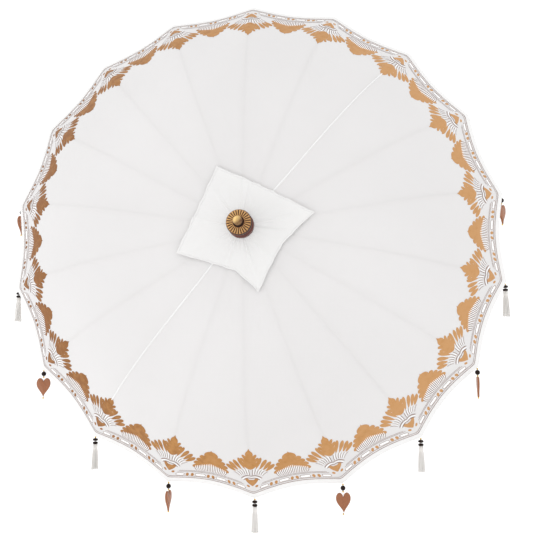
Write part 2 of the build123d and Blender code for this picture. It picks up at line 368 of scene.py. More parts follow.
def gold_paint():
    """Gold-bronze paint brushed on cloth, with painted shade: deeper towards the parasol's -X side than on
    the other, and patchy at random.
    """
    s = Shader("gold_paint")
    across = s.node("ShaderNodeSeparateXYZ")
    s.link(s.place(), across.inputs[0])
    # Painted shade across the parasol: the gold runs from deep at -X to pale towards +X
    side = s.node("ShaderNodeMapRange")
    side.inputs["From Min"].default_value = -1.0
    side.inputs["From Max"].default_value = 0.7
    s.link(across.outputs["X"], side.inputs["Value"])
    shade_and_patches = s.maths("ADD", side.outputs["Result"], s.scaled(s.noise(38, 5.0, rough=0.65), -0.55, 0.55))
    deep, middle, pale = (0.24, 0.085, 0.008), (0.44, 0.205, 0.052), (0.52, 0.27, 0.10)
    colour = s.ramp(shade_and_patches, (0.0, deep), (0.5, middle), (1.0, pale))
    rough = s.scaled(s.noise(60, 3.0), 0.38, 0.6)
    normal = s.bump(s.noise(420, 2.0), 0.3, 0.0004)
    return s.done(s.principled(colour, rough=rough, metal=0.18, normal=normal))


def paint_line(name, light, dark):
    """Thin paint in which the cloth shows here and there."""
    s = Shader(name)
    colour = s.ramp(s.noise(55, 4.0), (0.35, dark), (0.68, light))
    return s.done(s.principled(colour, rough=0.8, normal=s.bump(s.noise(500, 2.0), 0.2, 0.0003)))


def bamboo():
    s = Shader("bamboo")
    grain = s.noise(26, 6.0, stretch=(9, 1.2, 9), rough=0.6)
    dark, middle, pale = (0.36, 0.20, 0.09), (0.56, 0.36, 0.18), (0.66, 0.46, 0.25)
    colour = s.ramp(grain, (0.25, dark), (0.55, middle), (0.8, pale))
    fibre = s.bump(s.noise(240, 3.0, stretch=(4, 0.5, 4)), 0.35, 0.0006)
    return s.done(s.principled(colour, rough=s.scaled(grain, 0.42, 0.62), normal=fibre, coat=0.08))


def wood(name, dark, light, coat=0.2, grain_scale=14, stretch=(6, 0.6, 6), gloss=0.5):
    s = Shader(name)
    rings = s.node("ShaderNodeTexWave", wave_type="RINGS", rings_direction="Y")
    rings.inputs["Scale"].default_value = grain_scale
    rings.inputs["Distortion"].default_value = 4.5
    rings.inputs["Detail"].default_value = 3.0
    m = s.node("ShaderNodeMapping")
    m.inputs["Scale"].default_value = stretch
    s.link(s.place(), m.inputs["Vector"])
    s.link(m.outputs["Vector"], rings.inputs["Vector"])
    grain = s.scaled(s.noise(90, 5.0, stretch), 0, 0.55)
    streaks = s.maths("ADD", s.scaled(rings.outputs["Fac"], 0, 0.45), grain)
    colour = s.ramp(streaks, (0.2, dark), (0.8, light))
    normal = s.bump(s.noise(300, 3.0, stretch), 0.25, 0.0005)
    return s.done(s.principled(colour, rough=s.scaled(streaks, 0.38, 0.55), normal=normal, coat=coat,
                               gloss=gloss))


def metal(name, colour, rough, scale=180):
    s = Shader(name)
    tone = s.ramp(s.noise(24, 4.0), (0.3, tuple(0.78 * c for c in colour)), (0.7, colour))
    scuffs = s.noise(scale, 4.0, stretch=(1, 7, 1))
    return s.done(s.principled(tone, rough=s.scaled(scuffs, rough * 0.7, rough * 1.4), metal=1.0,
                               normal=s.bump(scuffs, 0.12, 0.0004)))


def painted_light_side(s):
    """Painted light and shade by which way the surface faces: runs from 0 on the side turned from the
    light, painted dark, to 1 on the lit side.
    """
    turned = s.node("ShaderNodeVectorMath", operation="DOT_PRODUCT")
    s.link(s.node("ShaderNodeNewGeometry").outputs["Normal"], turned.inputs[0])
    # The direction the painted light comes from: up, towards -X and towards the crown's side
    turned.inputs[1].default_value = (-0.55, -0.55, 0.63)
    return s.scaled(turned.outputs["Value"], 0.25, 1.0)


def gilt(name, deep, bright, metal_share, scale=70):
    """Gold paint over wood, with painted light and shade: bright on the side turned to the light, browner
    on the other, and patchy at random.
    """
    s = Shader(name)
    # Painted highlight and shade by facing, added to random patches
    patches_and_painted_shade = s.maths("ADD", painted_light_side(s), s.scaled(s.noise(scale, 5.0, rough=0.6), -0.3, 0.2))
    colour = s.ramp(patches_and_painted_shade, (0.15, deep), (0.95, bright))
    rough = s.scaled(s.noise(scale * 2, 3.0), 0.28, 0.5)
    normal = s.bump(s.noise(scale * 5, 3.0), 0.3, 0.0006)
    return s.done(s.principled(colour, rough=rough, metal=metal_share, normal=normal))


def carved_gilt():
    """The disc's gold paint, dark in the grooves between the rays, with painted shade in the ring round the
    neck, on the rim's side and on the side turned from the light.
    """
    s = Shader("gilt_wood")
    place = s.node("ShaderNodeSeparateXYZ")
    s.link(s.place(), place.inputs[0])
    x, z = place.outputs["X"], place.outputs["Z"]
    radius = s.maths("SQRT", s.maths("ADD", s.maths("MULTIPLY", x, x), s.maths("MULTIPLY", z, z)))
    wave = s.maths("COSINE", s.maths("MULTIPLY", s.maths("ARCTAN2", x, z), float(RAYS)))
    groove = s.ramp(s.scaled(wave, -1.0, 2.0), (0.2, (0, 0, 0)), (0.6, (1, 1, 1)))
    # The radius, stretched so that the disc's rim is at 1, picks out the carved ring and the sunk one
    share = s.maths("DIVIDE", radius, DISC_RIM_R)
    rays = s.ramp(share, (0.46, (0, 0, 0)), (0.52, (1, 1, 1)), (0.90, (1, 1, 1)), (0.94, (0, 0, 0)))
    # Painted shadow: the sunk ring round the neck and the side of the rim are darkened
    sunk = s.ramp(share, (0.0, (0.9,) * 3), (0.42, (0.9,) * 3), (0.48, (0,) * 3), (0.93, (0,) * 3),
                  (0.97, (0.75,) * 3))
    patches = s.scaled(s.noise(90, 5.0, rough=0.6), -0.2, 0.25)
    # Painted shade on the side turned from the light, added to random patches
    patches_and_painted_shade = s.maths("ADD", patches, s.scaled(painted_light_side(s), 0.45, -0.15))
    dark = s.maths("ADD", s.maths("MAXIMUM", s.maths("MULTIPLY", groove, rays), sunk), patches_and_painted_shade)
    gold, brown, black = (0.58, 0.33, 0.12), (0.26, 0.105, 0.032), (0.030, 0.009, 0.004)
    colour = s.ramp(dark, (0.05, gold), (0.40, brown), (0.90, black))
    normal = s.bump(s.noise(350, 3.0), 0.3, 0.0006)
    return s.done(s.principled(colour, rough=0.45, metal=0.2, normal=normal))


CANOPY_CLOTH = cotton("canopy_cotton", (0.695, 0.685, 0.685), (0.675, 0.665, 0.665),
                      (0.70, 0.69, 0.69), 0.06)
HEM_CLOTH = cotton("hem_cotton", (0.84, 0.835, 0.83), (0.81, 0.805, 0.80), (0.70, 0.69, 0.68), 0.05)
CAP_CLOTH = cotton("cap_cotton", (0.79, 0.785, 0.78), (0.76, 0.755, 0.75), (0.75, 0.74, 0.73), 0.08, 900)
SEAM_CLOTH = cotton("seam_tape", (0.84, 0.84, 0.84), (0.80, 0.80, 0.80), (0.7, 0.7, 0.7), 0.03, 1400)
TASSEL_YARN = cotton("tassel_yarn", (0.86, 0.84, 0.82), (0.76, 0.74, 0.71), (0.7, 0.69, 0.67), 0.08, 2200)
GOLD = gold_paint()
LINE = paint_line("brown_line", (0.34, 0.225, 0.185), (0.20, 0.115, 0.085))
WHITE = paint_line("white_paint", (0.95, 0.95, 0.95), (0.86, 0.86, 0.86))
BAMBOO = bamboo()
POLE_WOOD = wood("pole_wood", (0.16, 0.075, 0.032), (0.40, 0.21, 0.10), coat=0.35)
HUB_WOOD = wood("hub_wood", (0.20, 0.10, 0.045), (0.42, 0.23, 0.11))
HEART_WOOD = wood("heart_wood", (0.17, 0.052, 0.018), (0.40, 0.145, 0.052), coat=0.15, stretch=(7, 7, 1.2))
DARK_BEAD = wood("dark_bead", (0.006, 0.003, 0.003), (0.022, 0.011, 0.008), coat=0.0, grain_scale=40,
                 gloss=0.15)
STEEL = metal("steel", (0.56, 0.56, 0.57), 0.32)
BRASS = metal("sleeve_brass", (0.60, 0.44, 0.20), 0.28)
GOLD_BEAD = metal("gold_bead", (0.80, 0.56, 0.20), 0.22, 400)
DISC_GILT = carved_gilt()
# The ball and the foot are painted lighter on the side facing up, towards -X and towards the crown's side,
# and darker on the other: painted highlight and shade
BALL_GILT = gilt("ball_gilt", (0.12, 0.045, 0.014), (0.86, 0.58, 0.22), 0.35, 50)
DARK_GILT = gilt("dark_gilt", (0.085, 0.016, 0.010), (0.17, 0.045, 0.024), 0.05)

NODE_MATERIALS = {"pole_lower": POLE_WOOD, "pole_upper": POLE_WOOD, "pole_sleeve": BRASS,
                  "sleeve_pins": STEEL, "notch_wire": STEEL, "spring_catch": STEEL,
                  "top_notch": HUB_WOOD, "runner": HUB_WOOD, "finial_foot": DARK_GILT}
for name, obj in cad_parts.items():
    material = BAMBOO if name.startswith(("rib_", "stretcher_")) else NODE_MATERIALS.get(name)
    if material:
        obj.data.materials.clear()
        obj.data.materials.append(material)

# ---------------------------------------------------------------- the canopy
GORE_COLUMNS = 25
GORE_ROWS = 104
gore_w = np.linspace(-0.5, 0.5, GORE_COLUMNS)
gore_v = np.linspace(0, arc_at(CENTRE_R - 0.002), GORE_ROWS)
HEM_WIDTH = 0.033
SEAM_HALF = 0.003
SEAM_START, SEAM_END_R = 0.33, 0.07  # from inside the gilt border to under the cap
TAPED_SEAMS = (2, 11)


def gore(k):
    """One panel of cloth centred on rib k, from the notch to the scalloped edge."""
    w, v = np.meshgrid(gore_w, gore_v)
    points = cloth_at(k, w.ravel(), v.ravel())
    obj = new_mesh(f"canopy_gore_{k + 1:02d}", points, grid_faces(GORE_ROWS, GORE_COLUMNS), CANOPY_CLOTH)
    return obj


def hem(k):
    """The folded and stitched edge of gore k: a narrow band of double cloth with a rolled outer edge."""
    rows = [(-0.0012, -0.0002), (-0.0016, 0.0012), (0.0, 0.0017), (0.45 * HEM_WIDTH, 0.0014),
            (0.96 * HEM_WIDTH, 0.0012), (HEM_WIDTH, 0.0001)]
    flat = np.ones(GORE_COLUMNS)
    points = [cloth_at(k, gore_w, flat * v, lift=flat * lift) for v, lift in rows]
    faces = grid_faces(len(rows), GORE_COLUMNS)
    obj = new_mesh(f"canopy_hem_{k + 1:02d}", np.concatenate(points), faces, HEM_CLOTH)
    return obj


def seam_tape(k):
    """A white tape sewn along rib k from the cap cloth to the border."""
    v = np.linspace(SEAM_START, arc_at(SEAM_END_R), 90)
    rows = []
    for side, lift in ((-1.15, 0.0002), (-1, 0.0012), (0, 0.0015), (1, 0.0012), (1.15, 0.0002)):
        r = radius_at(v)
        rows.append(cloth_at(k, side * SEAM_HALF / (r * math.sin(STEP)), v, lift=np.full(len(v), lift)))
    faces = grid_faces(len(rows), len(v))
    obj = new_mesh(f"seam_tape_{k + 1:02d}", np.concatenate(rows), faces, SEAM_CLOTH)
    return obj


for k in range(RIBS):
    panel = gore(k)
    fold_with(panel, k)
    if k == 0:
        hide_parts("canopy")
    fold_with(hem(k), k)
for k in TAPED_SEAMS:
    fold_with(seam_tape(k), k)


def crown_patch():
    """The cloth over the notch, which the hinges don't move."""
    rings = np.linspace(HOLE_R, CENTRE_R, 8)
    points = []
    for r in rings:
        for j in range(72):
            k, w = divmod(j, 4)
            points.append(cloth_at(k, np.array(w / 4), np.array(FULL_ARC - np.interp(r, RADII, ARC))))
    obj = new_mesh("canopy_crown", points, grid_faces(len(rings), 72, closed=True), CANOPY_CLOTH)
    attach(obj, "pole")


crown_patch()

# ---------------------------------------------------------------- the painted border
# Outlines are in millimetres: x to one side of the rib or of the panel's middle, y inwards from the
# outer line.
MM = 0.001
GRID = 9.0  # spacing of the points that let the paint follow the cloth


def rounded(points, sharp=(), steps=5):
    """A closed outline through points, smooth except at the sharp ones."""
    n = len(points)
    p = [np.array(q, float) for q in points]
    out = []
    for i in range(n):
        a, b, c, d = p[i - 1], p[i], p[(i + 1) % n], p[(i + 2) % n]
        start = (c - a) / 2 if i not in sharp else (c - b) * 0.6
        end = (d - b) / 2 if (i + 1) % n not in sharp else (c - b) * 0.6
        for s in range(steps):
            t = s / steps
            out.append(b * (2 * t**3 - 3 * t**2 + 1) + start * (t**3 - 2 * t**2 + t)
                       + c * (3 * t**2 - 2 * t**3) + end * (t**3 - t**2))
    return out


BROAD_AT = 1.6  # a leaf is broadest nearer its tip the larger this is
BLUNT = 0.55


def leaf(base, tip, width, bend=0.0):
    """A leaf from base to tip, broadest nearer its tip, bent to one side."""
    base, tip = np.array(base, float), np.array(tip, float)
    along = tip - base
    side = np.array([-along[1], along[0]]) / np.linalg.norm(along)
    middle = (base + tip) / 2 + side * bend
    left, right = [], []
    for t in np.linspace(0, 1, 15):
        c = base * (1 - t) ** 2 + middle * 2 * t * (1 - t) + tip * t * t
        d = (middle - base) * (1 - t) + (tip - middle) * t
        d = np.array([-d[1], d[0]]) / np.linalg.norm(d)
        half = width / 2 * math.sin(math.pi * t**BROAD_AT) ** BLUNT
        left.append(c + d * half)
        right.append(c - d * half)
    return left + right[-2:0:-1]


def stroke(points, width):
    """A line of even width through points, tapered to round ends."""
    p = np.array(points, float)
    d = np.gradient(p, axis=0)
    d = np.stack([-d[:, 1], d[:, 0]], 1) / np.linalg.norm(d, axis=1, keepdims=True)
    halves = np.full(len(p), width / 2)
    halves[0] = halves[-1] = width / 5
    return [*(p + d * halves[:, None]), *(p - d * halves[:, None])[::-1]]


def bow(a, b, lift, steps=9):
    """Points of a curve from a to b that rises by lift beside the straight line."""
    a, b = np.array(a, float), np.array(b, float)
    side = np.array([-(b - a)[1], (b - a)[0]]) / np.linalg.norm(b - a)
    return [a + (b - a) * t + side * lift * 4 * t * (1 - t) for t in np.linspace(0, 1, steps)]


def ellipse(cx, cy, rx, ry, steps=16):
    turn = np.linspace(0, 2 * math.pi, steps, endpoint=False)
    return [(cx + rx * math.cos(t), cy + ry * math.sin(t)) for t in turn]


def mirrored(outline):
    return [(-x, y) for x, y in outline][::-1]


def both_sides(outlines):
    return [*outlines, *map(mirrored, outlines)]


# The pointed palmette over a rib: right half of the middle leaf, from its tip down
MIDDLE_LEAF = [(0, 312), (6, 297), (14, 285), (18, 272), (17, 260), (25, 264), (33, 261), (34, 252),
               (28, 242), (24, 236), (33, 240), (42, 236), (43, 227), (36, 218), (28, 213), (35, 213),
               (40, 206), (37, 196), (29, 188), (20, 182), (9, 179), (0, 180)]
LEAF_NOTCHES = (0, 4, 9, 14)
# The domed fan at the middle of a panel: right half, from its point down and round to the middle again
FAN = [(0, 224), (4, 216), (15, 212), (27, 203), (33, 190), (32, 180), (42, 184), (52, 179), (54, 168),
       (47, 158), (56, 162), (67, 157), (69, 146), (61, 137), (70, 139), (81, 132), (81, 121), (71, 113),
       (78, 112), (87, 103), (86, 92), (75, 87), (62, 92), (50, 99), (36, 105), (18, 108), (0, 108)]
FAN_NOTCHES = (0, 5, 9, 13, 17, 26)


def half_to_whole(half, notches):
    """A symmetric outline from its right half."""
    n = len(half)
    whole = half + [(-x, y) for x, y in half[-2:0:-1]]
    sharp = set(notches) | {2 * n - 2 - i for i in notches if i}
    return rounded(whole, sharp)


def palmette():
    """Gold outlines over a rib, then the brown and the white ones."""
    gold = [half_to_whole(MIDDLE_LEAF, LEAF_NOTCHES)]
    side_leaves = [((24, 168), (52, 234), 21, -4), ((39, 156), (76, 209), 24, -6),
                   ((54, 142), (97, 186), 25, -6), ((65, 129), (114, 160), 26, -5)]
    gold += both_sides([leaf(*values) for values in side_leaves])
    gold.append(rounded([(0, 107), (10, 103), (22, 107), (31, 99), (29, 87), (19, 73), (9, 65), (0, 59),
                         (-9, 65), (-19, 73), (-29, 87), (-31, 99), (-22, 107), (-10, 103)]))
    gold += both_sides([ellipse(20, 49, 7.5, 8.5)])
    brown = [stroke(bow((-39, 84), (39, 84), 34, 17), 4.0), stroke(bow((-50, 90), (50, 90), 45, 17), 3.8)]
    stalks = [((7, 138), (10, 176), 1), ((18, 136), (26, 172), 2), ((28, 131), (39, 160), 3),
              ((37, 124), (53, 147), 4), ((45, 116), (66, 135), 4), ((52, 105), (82, 121), 4)]
    brown += both_sides([stroke(bow(a, b, lift), 2.8) for a, b, lift in stalks])
    white = [stroke(bow((-44, 87), (44, 87), 39.5, 17), 5.0)]
    gaps = [((12, 139), (18, 180), 2), ((23, 136), (33, 172), 3), ((33, 130), (48, 160), 4),
            ((42, 122), (62, 147), 5), ((49, 111), (74, 133), 5)]
    white += both_sides([stroke(bow(a, b, lift), 4.2) for a, b, lift in gaps])
    return gold, brown, white


def fan():
    """The same at the middle of a panel, with its comb of upright stripes."""
    gold = [half_to_whole(FAN, FAN_NOTCHES)]
    brown, white = [], []
    for i in range(-9, 10):
        x = i * 8.0
        lean = x * 0.2
        drop = abs(x) * 0.22
        low, high = (x * 0.9, 63), (x + lean * 0.3, 112 - drop)
        lift = -math.copysign(abs(x) * 0.06, x)
        brown.append(stroke(bow(low, high, lift), 2.8))
        if i < 9:
            gap_low, gap_high = (low[0] + 3.7, 64), (high[0] + 4.3, 126 - abs(x + 4) * 0.35)
            white.append(stroke(bow(gap_low, gap_high, lift), 3.6))
    return gold, brown, white


def capsule(x0, x1, y, half):
    """A long bar with round ends."""
    turn = np.linspace(-math.pi / 2, math.pi / 2, 9)
    right = [(x1 - half + half * math.cos(t), y + half * math.sin(t)) for t in turn]
    left = [(x0 + half - half * math.cos(t), y - half * math.sin(t)) for t in turn]
    straight = np.linspace(x0 + half, x1 - half, 10)[1:-1]
    return right + [(x, y + half) for x in straight[::-1]] + left + [(x, y - half) for x in straight]


def fill(outlines, grid=GRID):
    """Triangles that fill outlines, with inner points so that they can bend with the cloth."""
    points, faces = [], []
    for outline in outlines:
        loop = [Vector((float(x), float(y))) for x, y in outline]
        xs, ys = [p.x for p in loop], [p.y for p in loop]
        inner = []
        for gx in np.arange(min(xs) + grid / 2, max(xs), grid):
            for gy in np.arange(min(ys) + grid / 2, max(ys), grid):
                inner.append(Vector((gx, gy)))
        verts, _, tris, *_ = delaunay_2d_cdt(loop + inner, [], [list(range(len(loop)))], 1, 1e-4)
        start = len(points)
        points += [(v.x, v.y) for v in verts]
        faces += [tuple(start + i for i in t) for t in tris]
    return np.array(points), faces


def ring(outer, inner):
    """The faces between two outlines with the same number of points."""
    n = len(outer)
    return [*outer, *inner], [(i, (i + 1) % n, n + (i + 1) % n, n + i) for i in range(n)]


def half_chord(v):
    """Half the distance between two ribs at the radius of the panel's middle, v in from the edge."""
    return scalloped_radius(0.5, v) * math.sin(STEP / 2)


def to_cloth(k, points, middle, lift):
    """Outline points beside rib k. With middle 1 or -1, x counts from that neighbouring panel's middle."""
    v = EDGE_BAND + points[:, 1] * MM
    half = half_chord(v)
    w = points[:, 0] * MM / (2 * half)
    if middle:
        w = middle * 0.5 + w
    return cloth_at(k, w, v, lift=np.full(len(v), lift))


def clipped(points, faces, side):
    """The part of a flat mesh on one side of x = 0: side 1 keeps x > 0."""
    bm = bmesh.new()
    made = [bm.verts.new((x, y, 0)) for x, y in points]
    for f in faces:
        if len(set(f)) == len(f):
            try:
                bm.faces.new([made[i] for i in f])
            except ValueError:
                continue
    geometry = bm.verts[:] + bm.edges[:] + bm.faces[:]
    bmesh.ops.bisect_plane(bm, geom=geometry, plane_co=(0, 0, 0), plane_no=(-side, 0, 0), clear_outer=True,
                           dist=1e-5)
    bm.verts.index_update()
    flat = np.array([(v.co.x, v.co.y) for v in bm.verts]).reshape(-1, 2)
    kept = [tuple(v.index for v in f.verts) for f in bm.faces]
    bm.free()
    return flat, kept


def band_line(y, width, gap=0.0, steps=40):
    """A line right along the border of one gore, in shares of a panel, left open for gap beside the rib."""
    spans = [(-0.5, 0.5)] if not gap else [(-0.5, -gap), (gap, 0.5)]
    points, faces = [], []
    for a, b in spans:
        start = len(points)
        for w in np.linspace(a, b, steps):
            points += [(w, y - width / 2), (w, y + width / 2)]
        corners = [start + 2 * i for i in range(steps - 1)]
        faces += [(c, c + 2, c + 3, c + 1) for c in corners]
    return np.array(points), faces


PALMETTE = [fill(outlines) for outlines in palmette()]
FAN_SHAPES = [fill(outlines) for outlines in fan()]
FAN_HALVES = {side: [clipped(*shape, side) for shape in FAN_SHAPES] for side in (1, -1)}
PANEL_HALF = 1000 * float(half_chord(EDGE_BAND + 0.027))
DOT_Y, DOT_RX, DOT_RY, DOT_PAIR = 27, 7.5, 12.5, 12
QUARTER = PANEL_HALF / 2
LINES = ((0.0, 3.6, 0.0), (12.5, 3.0, 0.0), (50.0, 2.6, 0.10), (57.5, 2.4, 0.12))


def border_dots():
    places = (QUARTER - DOT_PAIR, QUARTER + DOT_PAIR, PANEL_HALF - DOT_PAIR)
    return both_sides([ellipse(x, DOT_Y, DOT_RX, DOT_RY) for x in places])


def border_bars():
    """White bars with a brown edge: (brown rings, white middles)."""
    spans = ((34, QUARTER - DOT_PAIR - 13), (QUARTER + DOT_PAIR + 13, PANEL_HALF - DOT_PAIR - 13))
    rings, middles = [], []
    for x0, x1 in spans:
        for flip in (1, -1):
            ends = sorted((flip * x0, flip * x1))
            outer = capsule(*ends, DOT_Y + 1, 10.5)
            inner = capsule(ends[0] + 2.6, ends[1] - 2.6, DOT_Y + 1, 7.9)
            rings.append(ring(outer, inner))
            middles.append(inner)
    return rings, middles


DOTS = fill(border_dots())
BAR_RINGS, bar_middles = border_bars()
BAR_MIDDLES = fill(bar_middles)


def painted(name, k, parts, material, lift):
    """Joins (shape, middle) parts on gore k into one piece of paint."""
    placed = [(to_cloth(k, np.asarray(p, float), middle, lift), f) for (p, f), middle in parts if len(f)]
    obj = new_mesh(f"{name}_{k + 1:02d}", *join(placed), material, shade=False)
    fold_with(obj, k)
    return obj


def border(k):
    for index, (name, material, lift) in enumerate((("border_gold", GOLD, 1.0), ("border_brown", LINE, 1.3),
                                                    ("border_white", WHITE, 1.6))):
        parts = [(PALMETTE[index], 0)]
        parts += [(FAN_HALVES[side][index], -side) for side in (1, -1)]
        if name == "border_gold":
            parts.append((DOTS, 0))
        elif name == "border_brown":
            parts += [(r, 0) for r in BAR_RINGS]
        else:
            parts.append((BAR_MIDDLES, 0))
        painted(name, k, parts, material, lift * PAINT_LIFT)
    for number, (y, width, gap) in enumerate(LINES):
        points, faces = band_line(y, width, gap)
        v = EDGE_BAND + points[:, 1] * MM
        on = cloth_at(k, points[:, 0], v, lift=np.full(len(v), PAINT_LIFT))
        line = new_mesh(f"border_line_{number + 1}_{k + 1:02d}", on, faces, LINE, shade=False)
        fold_with(line, k)


for k in range(RIBS):
    border(k)

# ---------------------------------------------------------------- the cap cloth
CAP_CORNERS = ((-23, 0.316), (79, 0.331), (167, 0.306), (250, 0.327))  # azimuth in degrees and radius
# How far the side after each corner curves in, as a share of its length, and where the curve is deepest
CAP_SIDES = ((-0.01, 0.5), (0.075, 0.46), (0.105, 0.32), (0.015, 0.5))
CAP_FROM = 0.018
CAP_RINGS = 56
CAP_SPLIT = 0.056  # inside this radius the cap cloth stays on the notch


def cap_edge():
    """Azimuths and radii along the cap cloth's edge, a stretched square with its sides drawn in."""
    corners = []
    for degrees, radius in CAP_CORNERS:
        turn = math.radians(degrees)
        corners.append(radius * np.array([math.sin(turn), math.cos(turn)]))
    azimuths, radii = [], []
    for i, (pull, deepest) in enumerate(CAP_SIDES):
        a, b = corners[i], corners[(i + 1) % len(corners)]
        inward = np.array([-(b - a)[1], (b - a)[0]])
        inward *= -math.copysign(1, inward @ (a + b))
        for t in np.linspace(0, 1, 60, endpoint=False):
            warped = t ** (math.log(0.5) / math.log(deepest))
            kink = min(t / deepest, (1 - t) / (1 - deepest))
            depth = pull * (0.75 * kink + 0.25 * 4 * warped * (1 - warped))
            x, z = a + (b - a) * t + inward * depth
            azimuths.append(math.atan2(x, z) % (2 * math.pi))
            radii.append(math.hypot(x, z))
    return azimuths, radii


CAP_EDGE = cap_edge()


def cap_outline(azimuth):
    return float(np.interp(azimuth, *CAP_EDGE, period=2 * math.pi))


# The long folds of the cap cloth: azimuth in radians, half width in radians, height
FOLDS = ((0.10, 0.030, 0.006), (1.37, 0.028, 0.007), (1.62, 0.022, -0.005), (2.45, 0.035, 0.004),
         (2.92, 0.022, 0.008), (3.6, 0.045, 0.006), (4.25, 0.04, 0.005), (4.9, 0.03, 0.005),
         (5.6, 0.028, 0.004))


def cap_height(azimuth, r, edge):
    """How far the cap cloth stands off the canopy: gathers at the finial, long folds, a lifted edge."""
    near = math.exp(-max(r - 0.05, 0) / 0.05)
    gathers = 0.0022 * near * math.sin(23 * azimuth + 1.5 * math.sin(2 * azimuth))
    folds = 0.0
    for at, width, high in FOLDS:
        away = (azimuth - at + math.pi) % (2 * math.pi) - math.pi
        swing = 0.25 * math.sin(9 * r + at)
        beside = (away - swing * r) / (width * (1 + 3 * r))
        along = (r - 0.12) / 0.11
        folds += high * math.exp(-(beside**2)) * math.exp(-(along**2))
    share = r / edge
    waves = 1 + math.sin(7 * azimuth + 2.2) * math.cos(3 * azimuth)
    flutter = 0.004 * smooth((share - 0.7) / 0.3) * waves
    slack = 0.004 * math.sin(2.6 * azimuth + 9 * r) * smooth((r - 0.06) / 0.1)
    return 0.0065 + gathers + folds * 0.8 + flutter + 0.5 * (slack + 0.004)


def cap_point(azimuth, share):
    edge = cap_outline(azimuth)
    r = CAP_FROM + (edge - CAP_FROM) * share
    k = azimuth / STEP
    near = int(round(k)) % RIBS
    w = k - round(k)
    v = FULL_ARC - float(np.interp(r, RADII, ARC))
    on = cloth_at(near, np.array(w), np.array(v))
    return on + np.array([0, -cap_height(azimuth, r, edge), 0])


def cap_sector(name, first, last, low, high, rings):
    degrees = np.linspace(first, last, int(round((last - first))) + 1)
    shares = np.linspace(0, 1, rings)
    points = []
    for s in shares:
        for d in degrees:
            a = math.radians(d % 360)
            edge = cap_outline(a)
            start, end = [(limit - CAP_FROM) / (edge - CAP_FROM) if limit else 1.0 for limit in (low, high)]
            points.append(cap_point(a, start + (end - start) * s))
    return new_mesh(name, points, grid_faces(rings, len(degrees)), CAP_CLOTH)


def cap_hem(k, degrees):
    """The narrow rolled hem round the cap cloth's edge."""
    rows = []
    for share, lift in ((1.0, 0.0), (1.004, 0.0012), (0.996, 0.0022), (0.965, 0.0018), (0.955, 0.0003)):
        for d in degrees:
            a = math.radians(d % 360)
            rows.append(cap_point(a, share) + np.array([0, -lift, 0]))
    return new_mesh(f"cap_hem_{k + 1:02d}", rows, grid_faces(5, len(degrees)), CAP_CLOTH)


for k in range(RIBS):
    first = math.degrees(STEP) * (k - 0.5)
    last = first + math.degrees(STEP)
    sector = cap_sector(f"cap_cloth_{k + 1:02d}", first, last, CAP_SPLIT, None, CAP_RINGS)
    fold_with(sector, k)
    if k == 0:
        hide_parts("cap_cloth")
    edge = cap_hem(k, np.linspace(first, last, 21))
    fold_with(edge, k)
centre = cap_sector("cap_cloth_centre", 0, 360, CAP_FROM, 0.058, 14)
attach(centre, "pole")

# ---------------------------------------------------------------- the finial
DISC_FACE = (0.023, 0.028, 0.050, 0.053)  # radii: sunk ring, start and end of the rays, smooth edge


def disc():
    """The disc, its face carved with short rays between a smooth rim and a sunk ring round the neck."""
    back, front = DISC_BOX[1].y, DISC_BOX[0].y
    high = back - front
    rim = DISC_BOX[1].x
    sunk, ray_start, ray_end, edge_r = DISC_FACE
    outline = [(0.030, back), (0.046, back - 0.001), (rim - 0.003, back - 0.10 * high),
               (rim, back - 0.32 * high), (rim, back - 0.52 * high),
               (rim - 0.002, back - 0.68 * high), (edge_r, back - 0.78 * high),
               (ray_end, back - 0.82 * high), (0.5 * (ray_start + ray_end), back - 0.90 * high),
               (ray_start, back - 0.96 * high), (0.0255, back - 0.97 * high), (sunk, back - 0.93 * high),
               (0.021, back - 0.70 * high), (0.015, back - 0.72 * high), (0.012, back - 0.74 * high)]
    fine = []
    for (r0, y0), (r1, y1) in zip(outline, outline[1:]):
        fine += [(r0 + (r1 - r0) * t / 4, y0 + (y1 - y0) * t / 4) for t in range(4)]
    fine.append(outline[-1])
    points, faces = lathe(fine, RAYS * 12)
    for i, (x, y, z) in enumerate(points):
        r, a = math.hypot(x, z), math.atan2(x, z)
        on_face = y < back - 0.7 * high
        inside, outside = smooth((r - ray_start + 0.003) / 0.004), smooth((r - ray_end) / 0.004)
        share = inside * (1 - outside) if on_face else 0.0
        groove = (0.5 + 0.5 * math.cos(RAYS * a)) ** 2
        points[i] = (x, y + 0.0035 * share * groove, z)
    obj = new_mesh("finial_fluted_disc", points, faces, DISC_GILT)
    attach(obj, "pole")
    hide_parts("finial_disc")


def ball():
    """The ball on its ringed neck."""
    low, top = BALL_BOX[1].y, BALL_BOX[0].y
    radius = BALL_BOX[1].x
    middle = top + radius
    neck = [(0.012, low), (0.014, low - 0.002), (0.014, low - 0.005), (0.011, low - 0.008),
            (0.0105, low - 0.013)]
    turn = np.linspace(0.45, math.pi - 0.02, 40)
    sphere = [(radius * math.sin(t), middle + radius * math.cos(t)) for t in turn]
    points, faces = lathe(neck + sphere, 72)
    obj = new_mesh("finial_ball_on_neck", points, faces, BALL_GILT)
    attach(obj, "pole")
    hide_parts("finial_ball")


disc()
ball()

# ---------------------------------------------------------------- the pendants
THREAD_L = 0.007
THREAD_R = 0.0008
GOLD_R = 0.0045
DARK_R = 0.013
DARK_H = 0.013
BALL_R = 0.012
CORD_R = 0.0035
CORD_L = 0.003
TASSEL_L = 0.125
HEART_NOTCH = 0.0071
HEART_H = 0.0975
HEART_HALF = 0.0355
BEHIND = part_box("threads")[0].y + CORD_R - TIP_Y
HEART_TURNS = (25, -30, 55, 86, 8, 82, 4, 80, 35)


